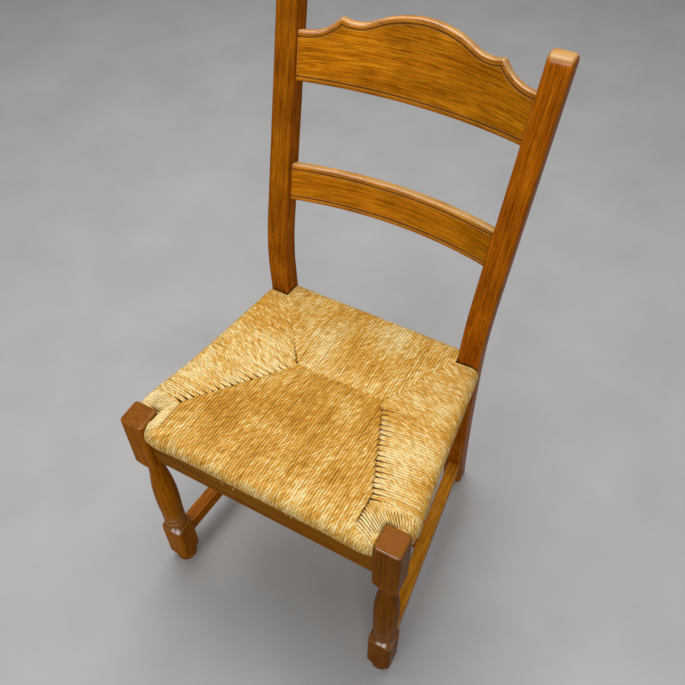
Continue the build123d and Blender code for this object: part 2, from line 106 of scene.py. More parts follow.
# How strands end at a seam: how far they run past it, and how deep they dive
SEAMS = {"open": (-0.0006, 0.007), "plain": (0.0, 0.004), "closed": (0.0018, 0.0022)}
SEAM_SPREAD = (-0.0005, 0.001)
DIVE_RUN = (0.0012, 0.0018)
DIVE_SHARE = 0.45
SEAM_RUN = 0.026
SEAM_POWER = 1.2
SEAM_GATHER = 0.0016
SEAM_TAPER = 0.28

# How pale the strands of each part of the seat are
TONES = {"front": 0.19, "rear": 0.46, "left": 0.48, "right": 0.46}
FAN_TONES = {-1: 0.65, 1: 0.48}
TONE_SPREAD = 0.12
FIBRE_SHIFT = 3

# Short strands that fan out round a leg block: their outer ends lie on a line from the
# front edge past the fan's corner to the side, their inner ends along the block's faces
FAN_STRANDS = 21
FAN_POINTS = 9
FAN_SINK = 0.006
FAN_FRONT = 0.020
FAN_SIDE = 0.220
FAN_BEFORE = 0.002
FAN_PAST = 0.004
FAN_GAP = STRAND_WIDE * 0.6
FAN_INNER_FRONT = 0.004
FAN_INNER_SIDE = 0.231
FAN_BURY = 0.8
FAN_ARCH = 0.0012
FAN_START_SINK = 0.0022
FAN_END_SINK = 0.0015
FAN_DIVE_RUN = (0.001, 0.0014)
FAN_DIVE_FALL = (0.006, 0.020)
FAN_TAPER = (0.84, 0.46, 0.40)

# Thin loose ends that stand off the front edge
LOOSE_FIBRES = 4
LOOSE_POINTS = 8
LOOSE_SPAN = (-0.15, 0.13)
LOOSE_LENGTH = (0.006, 0.014)
LOOSE_LEAN = 0.6
LOOSE_LIFT = 0.004
LOOSE_DEPTH = 0.004
LOOSE_OUT = 0.006
LOOSE_CURL = 0.7
LOOSE_DROP = 0.002
LOOSE_THICK = (0.12, 0.2)


def seat_points(across, depth, height):
    """Points in the part's frame from arrays in the seat's own directions."""
    return SEAT_ORIGIN + np.outer(across, RIGHT) + np.outer(depth, BACK) + np.outer(height, UP)


def rush_height(inwards, reach):
    """Height of the rush skin over the middle plane, from the nose to the ridge."""
    share = np.clip((inwards - NOSE) / (reach - NOSE), 0.0, 1.0)
    return NOSE + CROWN_GAIN * 4 * share * (1 - share) - (NOSE - RIDGE_HALF) * share**2


def corner_rise(across, depth):
    """How far the rush is lifted near a front leg."""
    side = np.where(across < 0, CORNER_RISE[-1], CORNER_RISE[1])
    gap = (np.maximum(BLOCK_INNER - np.abs(across), 0) / CORNER_ACROSS) ** 2
    gap += (np.maximum(depth - BLOCK_DEPTH, 0) / CORNER_ALONG) ** 2
    return side * np.exp(-gap)


class StrandMesh:
    """Collects tubes of rush into one mesh; each vertex knows its place on its strand."""

    def __init__(self, tone):
        self.base_tone = tone
        self.verts = []
        self.faces = []
        self.tones = []
        self.fibres = []
        self.count = 0

    def add(self, path, side, thickness=1.0, tone=None):
        """A tube along a path; side is the direction across the weave."""
        path = np.asarray(path)
        rings = len(path)
        tangent = np.gradient(path, axis=0)
        tangent /= np.linalg.norm(tangent, axis=1)[:, None]
        across = side - tangent * (tangent @ side)[:, None]
        across /= np.linalg.norm(across, axis=1)[:, None]
        normal = np.cross(across, tangent)
        steps = np.linalg.norm(np.diff(path, axis=0), axis=1)
        along = np.concatenate(([0.0], np.cumsum(steps)))
        wave = np.sin(along * rng.uniform(*SWELL_RATES) + rng.uniform(0, PHASE_SPAN))
        swell = thickness * (1 + SWELL * wave)
        turns = np.arange(STRAND_SIDES) * 2 * math.pi / STRAND_SIDES
        wide = STRAND_WIDE * np.outer(swell, np.cos(turns))
        tall = STRAND_TALL * np.outer(swell, np.sin(turns))
        ring = path[:, None, :] + across[:, None, :] * wide[:, :, None]
        ring = ring + normal[:, None, :] * tall[:, :, None]
        self.verts.append(ring.reshape(-1, 3))
        for i in range(rings - 1):
            low = self.count + i * STRAND_SIDES
            high = low + STRAND_SIDES
            for k in range(STRAND_SIDES):
                after = (k + 1) % STRAND_SIDES
                self.faces.append((low + k, low + after, high + after, high + k))
        last = self.count + (rings - 1) * STRAND_SIDES
        self.faces.append(tuple(self.count + k for k in reversed(range(STRAND_SIDES))))
        self.faces.append(tuple(last + k for k in range(STRAND_SIDES)))
        tone = (self.base_tone if tone is None else tone) + rng.uniform(-TONE_SPREAD, TONE_SPREAD)
        self.tones.append(np.full(rings * STRAND_SIDES, tone))
        fibre = np.empty((rings, STRAND_SIDES, 3))
        fibre[:, :, 0] = np.cos(turns)
        fibre[:, :, 1] = np.sin(turns)
        fibre[:, :, 2] = (along + rng.uniform(0, FIBRE_SHIFT))[:, None]
        self.fibres.append(fibre.reshape(-1, 3))
        self.count += rings * STRAND_SIDES

    def build(self, name, material):
        """The finished mesh object, with its attributes and smooth faces."""
        mesh = bpy.data.meshes.new(name)
        mesh.from_pydata(np.concatenate(self.verts).tolist(), [], self.faces)
        tone = mesh.attributes.new("strand_tone", "FLOAT", "POINT")
        tone.data.foreach_set("value", np.concatenate(self.tones))
        fibre = mesh.attributes.new("fibre", "FLOAT_VECTOR", "POINT")
        fibre.data.foreach_set("vector", np.concatenate(self.fibres).ravel())
        mesh.polygons.foreach_set("use_smooth", [True] * len(mesh.polygons))
        mesh.materials.append(material)
        obj = bpy.data.objects.new(name, mesh)
        bpy.context.scene.collection.objects.link(obj)
        return obj


def wobble(along, size):
    """A slow random sway along a strand."""
    sway = np.zeros_like(along)
    for rate in SWAY_RATES:
        share = rng.uniform(*SWAY_SHARES)
        sway += size * share * np.sin(along * rate + rng.uniform(0, PHASE_SPAN))
    return sway


def rush_strand(weave, index, nose_point, inward, to_seam, reach, seam, in_fan=False):
    """One strand from the seam underneath, round the rail, to the seam on top."""
    thick = rng.uniform(*STRAND_THICK)
    drop = STRAND_TALL * thick
    past, fall = SEAMS[seam]
    to_seam = to_seam + past + rng.uniform(*SEAM_SPREAD)
    count = max(4, int((to_seam - NOSE) / STRAND_STEP))
    out = np.linspace(NOSE, to_seam, count)
    under = np.linspace(to_seam, NOSE, max(4, count // 2))
    turn = np.linspace(-math.pi / 2, math.pi / 2, NOSE_POINTS)[1:-1]
    ball = NOSE - drop
    dive = to_seam + np.array(DIVE_RUN)
    inwards = np.concatenate((under, NOSE - ball * np.cos(turn), out, dive))
    top = rush_height(out, reach) - drop
    if in_fan:
        top = top - FAN_SINK * np.clip((out - NOSE) / NOSE, 0, 1)
    height = np.concatenate((
        drop - rush_height(under, reach), ball * np.sin(turn), top,
        (top[-1] - fall * DIVE_SHARE, top[-1] - fall),
    ))

    # At an open seam the strands close up in pairs and get thinner
    near_seam = np.zeros_like(inwards)
    if seam == "open":
        near_seam = np.clip((inwards - to_seam + SEAM_RUN) / SEAM_RUN, 0, 1) ** SEAM_POWER
    pair = 1 if index % 2 == 0 else -1
    aside = wobble(inwards, SWAY_ASIDE) + pair * SEAM_GATHER * near_seam
    height = height + wobble(inwards + 1.0, SWAY_UP) - SEAM_GATHER * near_seam
    taper = thick * (1 - SEAM_TAPER * near_seam)
    inward = np.asarray(inward)
    aside_dir = np.array((-inward[1], inward[0]))
    plan = np.asarray(nose_point) + np.outer(inwards, inward) + np.outer(aside, aside_dir)

    # Near a front leg the top is lifted and the nose stands out, but not at the block
    lift = corner_rise(plan[:, 0], plan[:, 1])
    height = height + lift * np.clip((height + NOSE) / (2 * NOSE), 0, 1)
    clear = np.maximum(BLOCK_INNER - np.abs(plan[:, 0]), plan[:, 1] - BLOCK_DEPTH)
    bulge = CORNER_BULGE * lift * (1 - np.exp(-((clear / CORNER_ROUND) ** 2)))
    plan = plan - np.outer(bulge * np.clip(1 - inwards / NOSE, 0, 1), inward)
    path = seat_points(plan[:, 0], plan[:, 1], height)
    side = aside_dir[0] * RIGHT + aside_dir[1] * BACK
    weave.add(path, side, taper)


def along_line(value, start, end):
    """Second coordinate of a plan line at a value of its first."""
    share = (value - start[0]) / (end[0] - start[0])
    return start[1] + share * (end[1] - start[1])


def front_seam(x):
    """Depth of the seam or ridge behind the front edge."""
    side, fan, ridge = (-1, FAN_LEFT, RIDGE_LEFT) if x < 0 else (1, FAN_RIGHT, RIDGE_RIGHT)
    if abs(x) > abs(fan[0]):
        return along_line(x, fan, (side * BLOCK_INNER, BLOCK_DEPTH))
    if abs(x) > abs(ridge):
        return along_line(x, fan, (ridge, RIDGE_DEPTH))
    return RIDGE_DEPTH


def rear_seam(x):
    """Depth of the seam or ridge in front of the rear edge."""
    side, ridge = (-1, RIDGE_LEFT) if x < 0 else (1, RIDGE_RIGHT)
    if abs(x) > abs(ridge):
        return along_line(x, (side * POST_INNER, POST_DEPTH), (ridge, RIDGE_DEPTH))
    return RIDGE_DEPTH


def side_seam(depth, fan, ridge, side):
    """How far across the seam lies at a depth, on one side."""
    if depth < fan[1]:
        return along_line(depth, (BLOCK_DEPTH, side * BLOCK_INNER), (fan[1], fan[0]))
    if depth < RIDGE_DEPTH:
        return along_line(depth, (fan[1], fan[0]), (RIDGE_DEPTH, ridge))
    return along_line(depth, (RIDGE_DEPTH, ridge), (POST_DEPTH, side * POST_INNER))


def side_edge(depth):
    """Half width of the seat at a depth."""
    return along_line(depth, (BLOCK_DEPTH, SIDE_FRONT), (POST_DEPTH, SIDE_REAR))


def strand_places(start, end):
    """Evenly spaced strand middles between two places, a little uneven."""
    count = int(abs(end - start) / STRAND_PITCH)
    places = np.linspace(start, end, count)
    return places + rng.uniform(-PLACE_SPREAD, PLACE_SPREAD, count)


def along_route(route, share):
    """The plan point at a share of a route's whole length."""
    route = np.asarray(route)
    steps = np.linalg.norm(np.diff(route, axis=0), axis=1)
    total = np.concatenate(([0.0], np.cumsum(steps))) / steps.sum()
    return np.array([np.interp(share, total, route[:, c]) for c in range(2)])


def corner_fan(weave, side, fan):
    """Short strands that spread round a leg block and go down beside it."""
    face = BLOCK_INNER - FAN_GAP
    behind = BLOCK_DEPTH + FAN_GAP
    outer = [(fan[0], FAN_FRONT), (fan[0], fan[1] - FAN_BEFORE), (side * FAN_SIDE, fan[1] + FAN_PAST)]
    inner = [(side * face, FAN_INNER_FRONT), (side * face, behind), (side * FAN_INNER_SIDE, behind)]
    places = np.linspace(0, 1, FAN_POINTS)
    arch = FAN_ARCH * np.sin(places * math.pi)
    for share in np.linspace(0.0, 1.0, FAN_STRANDS):
        start = along_route(outer, share)
        end = along_route(inner, share)
        way = (end - start) / np.linalg.norm(end - start)
        plan = start + np.outer(places, end - start)
        from_edge = np.minimum(plan[:, 1], side_edge(plan[:, 1]) - np.abs(plan[:, 0]))
        fall = np.maximum(NOSE - from_edge, 0)
        height = np.sqrt(NOSE**2 - fall**2) - STRAND_TALL * FAN_BURY + arch
        height[0] -= FAN_START_SINK
        height[-1] -= FAN_END_SINK
        plan = np.vstack((plan, plan[-1] + np.outer(FAN_DIVE_RUN, way)))
        height = np.concatenate((height, height[-1] - np.array(FAN_DIVE_FALL)))
        height = height + corner_rise(plan[:, 0], plan[:, 1])
        path = seat_points(plan[:, 0], plan[:, 1], height)
        taper = np.interp(np.arange(len(path)), (0, len(path) - 3, len(path) - 1), FAN_TAPER)
        weave.add(path, -way[1] * RIGHT + way[0] * BACK, taper, FAN_TONES[side])


def loose_fibres(weave, count):
    """Thin ends of rush that stand off the front edge."""
    steps = np.linspace(0, 1, LOOSE_POINTS)
    for x in rng.uniform(*LOOSE_SPAN, count):
        length = rng.uniform(*LOOSE_LENGTH)
        lean = rng.uniform(-LOOSE_LEAN, LOOSE_LEAN)
        lift = rng.uniform(0.0, LOOSE_LIFT)
        across = x + lean * length * steps
        depth = LOOSE_DEPTH - LOOSE_OUT * np.sin(steps * math.pi * LOOSE_CURL)
        height = -LOOSE_DROP - length * steps**2 + lift * steps
        weave.add(seat_points(across, depth, height), RIGHT, rng.uniform(*LOOSE_THICK))


def weave_front(weave):
    """The front panel's strands and its loose ends."""
    for i, x in enumerate(strand_places(END_MARGIN - BLOCK_INNER, BLOCK_INNER - END_MARGIN)):
        in_fan = x < FAN_LEFT[0] or x > FAN_RIGHT[0]
        seam = "closed" if RIDGE_LEFT < x < RIDGE_RIGHT else "plain"
        rush_strand(weave, i, (x, 0.0), (0.0, 1.0), front_seam(x), RIDGE_DEPTH, seam, in_fan)
    loose_fibres(weave, LOOSE_FIBRES)


def weave_rear(weave):
    """The rear panel's strands."""
    reach = REAR_EDGE - RIDGE_DEPTH
    for i, x in enumerate(strand_places(END_MARGIN - POST_INNER, POST_INNER - END_MARGIN)):
        to_seam = REAR_EDGE - rear_seam(x)
        rush_strand(weave, i, (x, REAR_EDGE), (0.0, -1.0), to_seam, reach, "closed")


def weave_side(weave, side, fan, ridge):
    """The strands of the left or right panel."""
    angle = math.atan2(SIDE_FRONT - SIDE_REAR, POST_DEPTH - BLOCK_DEPTH)
    reach = abs(side * side_edge(RIDGE_DEPTH) - ridge)
    inward = (-side * math.cos(angle), -math.sin(angle))
    for i, depth in enumerate(strand_places(BLOCK_DEPTH + END_MARGIN, POST_DEPTH - END_MARGIN)):
        edge = side * side_edge(depth)
        to_seam = abs(edge - side_seam(depth, fan, ridge, side)) * math.cos(angle)
        seam = "open" if fan[1] < depth < RIDGE_DEPTH else "closed"
        rush_strand(weave, i, (edge, depth), inward, to_seam, reach, seam, depth < fan[1])


def weave_seat(material):
    """The four rush panels, each one mesh of strands."""
    panels = {name: StrandMesh(TONES[name]) for name in ("front", "rear", "left", "right")}
    weave_front(panels["front"])
    weave_rear(panels["rear"])
    for side, name, fan, ridge in (
        (-1, "left", FAN_LEFT, RIDGE_LEFT),
        (1, "right", FAN_RIGHT, RIDGE_RIGHT),
    ):
        weave_side(panels[name], side, fan, ridge)
        corner_fan(panels["front"], side, fan)
    for name, weave in panels.items():
        piece = weave.build("rush_weave_" + name, material)
        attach(piece, "root")
        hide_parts("rush_panel_" + name)


def bar_section(wide, tall):
    """Points round a bar's section with rounded corners, in the directions wide and tall."""
    turns = np.linspace(0, 90, BAR_CORNER_POINTS)
    section = []
    for u, v, start in ((1, 1, 0), (-1, 1, 90), (-1, -1, 180), (1, -1, 270)):
        middle = wide * u * (BAR_WIDE / 2 - BAR_ROUND) + tall * v * (BAR_TALL / 2 - BAR_ROUND)
        for angle in np.radians(start + turns):
            section.append(middle + BAR_ROUND * (wide * math.cos(angle) + tall * math.sin(angle)))
    return section


def stretcher_bars():
    """The two side stretchers, rounded bars whose ends are let into legs and posts."""
    for side, name in ((-1, "left"), (1, "right")):
        ends = [np.array((side * x, FRONT_Y + depth, z)) for x, depth, z in (BAR_FRONT, BAR_REAR)]
        along = (ends[1] - ends[0]) / np.linalg.norm(ends[1] - ends[0])
        wide = np.array((along[1], -along[0], 0.0)) / np.hypot(along[0], along[1])
        section = bar_section(wide, np.cross(wide, along))
        count = len(section)
        faces = [(k, (k + 1) % count, (k + 1) % count + count, k + count) for k in range(count)]
        faces += [tuple(reversed(range(count))), tuple(range(count, 2 * count))]
        mesh = bpy.data.meshes.new("stretcher_bar_" + name)
        mesh.from_pydata([tuple(end + point) for end in ends for point in section], [], faces)
        mesh.materials.append(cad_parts["side_stretcher_" + name].material_slots[0].material)
        piece = bpy.data.objects.new("stretcher_bar_" + name, mesh)
        bpy.context.scene.collection.objects.link(piece)
        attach(piece, "root")
        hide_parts("side_stretcher_" + name)


class Nodes:
    """Short ways to add and link shader nodes in one material."""

    def __init__(self, name):
        self.material = bpy.data.materials.new(name)
        self.material.use_nodes = True
        self.tree = self.material.node_tree
        self.shader = self.tree.nodes["Principled BSDF"]

    def add(self, kind, **values):
        """A new node with its settings."""
        node = self.tree.nodes.new(kind)
        for key, value in values.items():
            setattr(node, key, value)
        return node

    def put(self, value, socket):
        """Links a socket, or sets a plain value."""
        if isinstance(value, bpy.types.NodeSocket):
            self.tree.links.new(value, socket)
        else:
            socket.default_value = value

    def surface(self, name, value):
        """Sets one input of the material's shader."""
        self.put(value, self.shader.inputs[name])

    def fill(self, node, names, values):
        """Sets named inputs of a node."""
        for name, value in zip(names, values):
            self.put(value, node.inputs[name])

    def split(self, vector):
        """The outputs X, Y and Z of a vector."""
        node = self.add("ShaderNodeSeparateXYZ")
        self.put(vector, node.inputs[0])
        return node.outputs

    def join(self, x, y, z):
        node = self.add("ShaderNodeCombineXYZ")
        self.fill(node, ("X", "Y", "Z"), (x, y, z))
        return node.outputs[0]

    def noise(self, vector, scale, detail=2.0, rough=0.5, distort=0.0):
        node = self.add("ShaderNodeTexNoise")
        names = ("Vector", "Scale", "Detail", "Roughness", "Distortion")
        self.fill(node, names, (vector, scale, detail, rough, distort))
        return node.outputs["Fac"]

    def ramp(self, factor, stops):
        """A colour ramp; each stop is a place and a colour."""
        node = self.add("ShaderNodeValToRGB")
        ramp = node.color_ramp
        while len(ramp.elements) < len(stops):
            ramp.elements.new(0.5)
        for element, (place, colour) in zip(ramp.elements, stops):
            element.position = place
            element.color = (*colour, 1.0)
        self.put(factor, node.inputs["Fac"])
        return node.outputs["Color"]

    def mix(self, factor, first, second, blend="MIX"):
        node = self.add("ShaderNodeMix", data_type="RGBA", blend_type=blend)
        self.put(factor, node.inputs[0])
        self.put(first, node.inputs[6])
        self.put(second, node.inputs[7])
        return node.outputs[2]

    def shade(self, colour, by, amount):
        """Multiplies a colour by another, to an amount."""
        return self.mix(amount, colour, by, "MULTIPLY")

    def math(self, operation, *values):
        node = self.add("ShaderNodeMath", operation=operation)
        for value, socket in zip(values, node.inputs):
            self.put(value, socket)
        return node.outputs[0]

    def range(self, value, low, high, new_low, new_high):
        node = self.add("ShaderNodeMapRange")
        names = ("Value", "From Min", "From Max", "To Min", "To Max")
        self.fill(node, names, (value, low, high, new_low, new_high))
        return node.outputs["Result"]

    def bump(self, height, strength, distance, under=None):
        node = self.add("ShaderNodeBump")
        self.fill(node, ("Strength", "Distance", "Height"), (strength, distance, height))
        if under is not None:
            self.put(under, node.inputs["Normal"])
        return node.outputs["Normal"]

    def hollow(self, distance, samples=6):
        """How open a place is, from ambient occlusion: low in grooves and corners, where it is used
        to paint shade.
        """
        node = self.add("ShaderNodeAmbientOcclusion", samples=samples)
        self.put(distance, node.inputs["Distance"])
        return node.outputs["AO"]

    def place(self):
        return self.add("ShaderNodeTexCoord").outputs["Object"]

    def mapped(self, vector, location=(0, 0, 0), rotation=(0, 0, 0), scale=(1, 1, 1)):
        node = self.add("ShaderNodeMapping")
        names = ("Vector", "Location", "Rotation", "Scale")
        self.fill(node, names, (vector, location, rotation, scale))
        return node.outputs["Vector"]


def grey(level):
    """A grey as a colour."""
    return (level, level, level)


WHITE = grey(1.0)

# Oak: its colours before staining, and how the grain's layers shade them
OAK_DARK = (0.260, 0.075, 0.003)
OAK_MIDDLE = (0.400, 0.132, 0.005)
OAK_LIGHT = (0.540, 0.205, 0.010)
FIGURE_STOPS = ((0.26, OAK_DARK), (0.50, OAK_MIDDLE), (0.74, OAK_LIGHT))
FINE_STOPS = ((0.36, grey(0.45)), (0.54, WHITE))
PORE_STOPS = ((0.32, grey(0.40)), (0.42, WHITE))
BLOTCH_STOPS = ((0.36, (0.68, 0.64, 0.60)), (0.62, WHITE))

# Noise of each layer, as scale, detail, roughness and distortion, and how the grain runs
FIGURE_NOISE = (200.0, 5.0, 0.62, 0.5)
FINE_NOISE = (480.0, 4.0, 0.65)
PORE_NOISE = (1100.0, 2.0, 0.5)
BLOTCH_NOISE = (16.0, 4.0, 0.55)
GRAIN_STRETCH = 0.04
GRAIN_TILT = (0.012, 0.008, 0.010)
GRAIN_SHIFT = (1.37, 0.71, 2.11)

# End grain, edges lightened partly as wear and partly as a painted highlight, and painted shade in
# grooves and corners
END_STAIN = 0.75
# Painted light and shade on the front legs' tops: the left top darker and the right top lighter than
# the end grain alone
LEG_END_STAINS_AND_LIGHT = {"front_leg_left": 0.25, "front_leg_right": 1.3}
END_SHARE = 0.5
# Rounded edges are lightened, partly as wear and partly as a painted highlight
WEAR_AND_HIGHLIGHT_OAK = (0.62, 0.33, 0.070, 1.0)
WEAR_AND_HIGHLIGHT_SHARE = 0.45
WEAR_AND_HIGHLIGHT_RADIUS = 0.003
# Painted shade: grooves and corners are darkened by ambient occlusion
CREVICE_SHADE_REACH = 0.006
CREVICE_SHADE_STOPS = ((0.30, (0.34, 0.22, 0.15)), (0.85, WHITE))
CREVICE_SHADE_SHARE = 0.9

# Varnish shines on rounded edges that face up and forward
OAK_IOR = 1.04
VARNISH_IOR = 1.7
VARNISH_ROUGHNESS = 0.2
GLOSS = 0.4
PIECE_GLOSS = {"front_leg_left": 1.0, "front_leg_right": 1.0, "crest_rail": 0.9, "back_slat": 0.9}

# Painted shade: the back's rails are darker towards their right ends
BOWED_RAILS = ("crest_rail", "back_slat")
RAIL_SHADE_FADE = 0.58

# The upper sides of the back's pieces are paler: partly stain rubbed thin, partly a painted highlight
RUBBED_AND_HIGHLIGHT_PIECES = BOWED_RAILS + ("rear_post_left", "rear_post_right")
RUBBED_AND_HIGHLIGHT_OAK = (0.50, 0.32, 0.12, 1.0)
RUBBED_AND_HIGHLIGHT_SHARE = 0.70

# How the pieces bend, so that the grain follows them
RAIL_BOW = 0.035
RAIL_HALF = 0.177
POST_KNEE = 0.530
POST_RAKE = math.radians(15.0)
POST_FLARE = 0.034
POST_FLARE_HEIGHT = 0.450
POST_STRAIGHT = 0.471
POST_SPLAY = 0.043


def along_bow(n):
    """Coordinates straightened along a bowed back rail."""
    x, y, z = n.split(n.place())
    square = n.math("MULTIPLY", x, x)
    return n.join(x, n.math("MULTIPLY_ADD", square, RAIL_BOW / RAIL_HALF**2, y), z)


def along_post(n, side):
    """Coordinates straightened along a raked and splayed rear post."""
    x, y, z = n.split(n.place())
    above = n.math("MAXIMUM", n.math("SUBTRACT", z, POST_KNEE), 0.0)
    below = n.math("MAXIMUM", n.math("SUBTRACT", POST_STRAIGHT, z), 0.0)
    flared = n.math("MAXIMUM", n.math("SUBTRACT", z, POST_FLARE_HEIGHT), 0.0)
    upright = n.math("MULTIPLY_ADD", above, -math.tan(POST_RAKE), y)
    splay = n.math("MULTIPLY", below, below)
    return n.join(
        n.math("MULTIPLY_ADD", flared, -side * POST_FLARE, x),
        n.math("MULTIPLY_ADD", splay, -POST_SPLAY / POST_STRAIGHT**2, upright),
        z,
    )


def stained(tint, stain, amount=1.0):
    """A wood colour under a stain."""
    return tuple(c * s * amount for c, s in zip(tint, stain))


def oak(name, axis, seed, stain, strength):
    """Stained, varnished oak with its grain along X, Y or Z; stain tints each colour."""
    n = Nodes("oak_" + name)
    place = n.place()
    if name in BOWED_RAILS:
        place = along_bow(n)
    elif name.startswith("rear_post"):
        place = along_post(n, 1 if name.endswith("right") else -1)
    scale = [1.0, 1.0, 1.0]
    scale["XYZ".index(axis)] = GRAIN_STRETCH
    shift = tuple(seed * step for step in GRAIN_SHIFT)
    along = n.mapped(place, shift, GRAIN_TILT, scale)
    figure = n.noise(along, *FIGURE_NOISE)
    fine = n.noise(along, *FINE_NOISE)
    pores = n.noise(along, *PORE_NOISE)
    blotches = n.noise(n.mapped(place, shift), *BLOTCH_NOISE)
    colour = n.ramp(figure, [(level, stained(tint, stain)) for level, tint in FIGURE_STOPS])
    for layer, stops in ((fine, FINE_STOPS), (pores, PORE_STOPS), (blotches, BLOTCH_STOPS)):
        colour = n.shade(colour, n.ramp(layer, stops), strength)
    # Painted shade: the rail darkens towards its right end
    if name in BOWED_RAILS:
        painted_shade_fade = n.range(n.split(place)["X"], -RAIL_HALF, RAIL_HALF, 1.0, RAIL_SHADE_FADE)
        colour = n.shade(colour, painted_shade_fade, 1.0)

    # End grain, then edges where a rounded normal differs from the true one, lightened partly as wear
    # and partly as a painted highlight
    normal = n.add("ShaderNodeNewGeometry").outputs["Normal"]
    facing = n.split(normal)
    end_grain = n.range(n.math("ABSOLUTE", facing[axis]), 0.5, 0.95, 0.0, END_SHARE)
    # The front legs' own end-grain shares paint shade on the left top and light on the right top
    end_colour = stained(OAK_MIDDLE, stain, LEG_END_STAINS_AND_LIGHT.get(name, END_STAIN))
    colour = n.mix(end_grain, colour, (*end_colour, 1.0))
    bevel = n.add("ShaderNodeBevel", samples=6)
    n.put(WEAR_AND_HIGHLIGHT_RADIUS, bevel.inputs["Radius"])
    turn = n.add("ShaderNodeVectorMath", operation="DOT_PRODUCT")
    n.put(bevel.outputs["Normal"], turn.inputs[0])
    n.put(normal, turn.inputs[1])
    edge = n.range(turn.outputs["Value"], 1.0, 0.9, 0.0, WEAR_AND_HIGHLIGHT_SHARE)
    colour = n.mix(edge, colour, WEAR_AND_HIGHLIGHT_OAK)
    upward = facing["Z"]
    # Upper sides paler, partly as rubbed stain and partly as a painted highlight
    if name in RUBBED_AND_HIGHLIGHT_PIECES:
        rubbed_and_highlight = n.range(upward, 0.40, 0.80, 0.0, RUBBED_AND_HIGHLIGHT_SHARE)
        rubbed_and_highlight = n.math("MULTIPLY", rubbed_and_highlight, n.range(blotches, 0.38, 0.62, 0.35, 1.0))
        colour = n.mix(rubbed_and_highlight, colour, RUBBED_AND_HIGHLIGHT_OAK)
    # Painted shade: darkens grooves and corners where ambient occlusion finds them closed in
    colour = n.shade(colour, n.ramp(n.hollow(CREVICE_SHADE_REACH), CREVICE_SHADE_STOPS), CREVICE_SHADE_SHARE)
    n.surface("Base Color", colour)
    n.surface("Roughness", n.range(figure, 0.3, 0.7, 0.30, 0.18))

    rising = n.range(upward, 0.25, 0.50, 0.0, 1.0)
    level = n.range(upward, 0.85, 0.97, 1.0, 0.04)
    polish = n.math("MULTIPLY", rising, level)
    n.surface("Coat Weight", n.math("MULTIPLY", polish, PIECE_GLOSS.get(name, GLOSS)))
    n.surface("Coat Roughness", VARNISH_ROUGHNESS)
    n.surface("Coat IOR", VARNISH_IOR)
    n.surface("IOR", OAK_IOR)
    grain = n.bump(pores, 0.20, 0.0003)
    n.surface("Normal", n.bump(fine, 0.12, 0.0004, grain))
    return n.material


# Rush: its colours from dull to dry, and the painted shade in the creases of the twist and in the
# grooves between strands
RUSH_BROWN = (0.390, 0.155, 0.012)
RUSH_GOLD = (0.580, 0.280, 0.026)
RUSH_STRAW = (0.680, 0.410, 0.085)
RUSH_PALE = (0.790, 0.620, 0.290)
RUSH_STOPS = ((0.50, RUSH_BROWN), (0.74, RUSH_GOLD), (0.95, RUSH_STRAW), (1.0, RUSH_PALE))
FIBRE_STOPS = ((0.30, grey(0.62)), (0.50, WHITE))
FIBRE_SHARE = 0.7
# Painted shade in the crease between the twisted plies
PLY_CREASE_SHADE_STOPS = ((0.04, grey(0.35)), (0.30, WHITE))
PLY_CREASE_SHADE_SHARE = 0.35
# Painted shade in the grooves between strands, from ambient occlusion
STRAND_GAP_SHADE_REACH = 0.004
STRAND_GAP_SHADE_STOPS = ((0.25, (0.40, 0.28, 0.16)), (0.80, WHITE))
RUSH_ROUGHNESS = 0.42
RUSH_SPECULAR = 0.20

# Twist of the strands, and the noise of streaks, fibres and patches
TWIST_PITCH = 0.034
TWIST_SLOW = 1.7 * math.pi / TWIST_PITCH
TWIST_FAST = 2.3 * math.pi / TWIST_PITCH
FIBRE_LENGTH = 42.0
STREAK_NOISE = (1.7, 3.0, 0.6)
FIBRE_NOISE = (6.0, 3.0, 0.6)
PATCH_NOISE = (12.0, 3.0, 0.55)
PATCH_SHIFT = (0.3, 0.1, 0.0)
PATCH_WEIGHT = 0.80
TONE_WEIGHT = 0.60

# The rush is paler along the seat's front edge
FRONT_PALE = 0.14
FRONT_PALE_RUN = 0.080


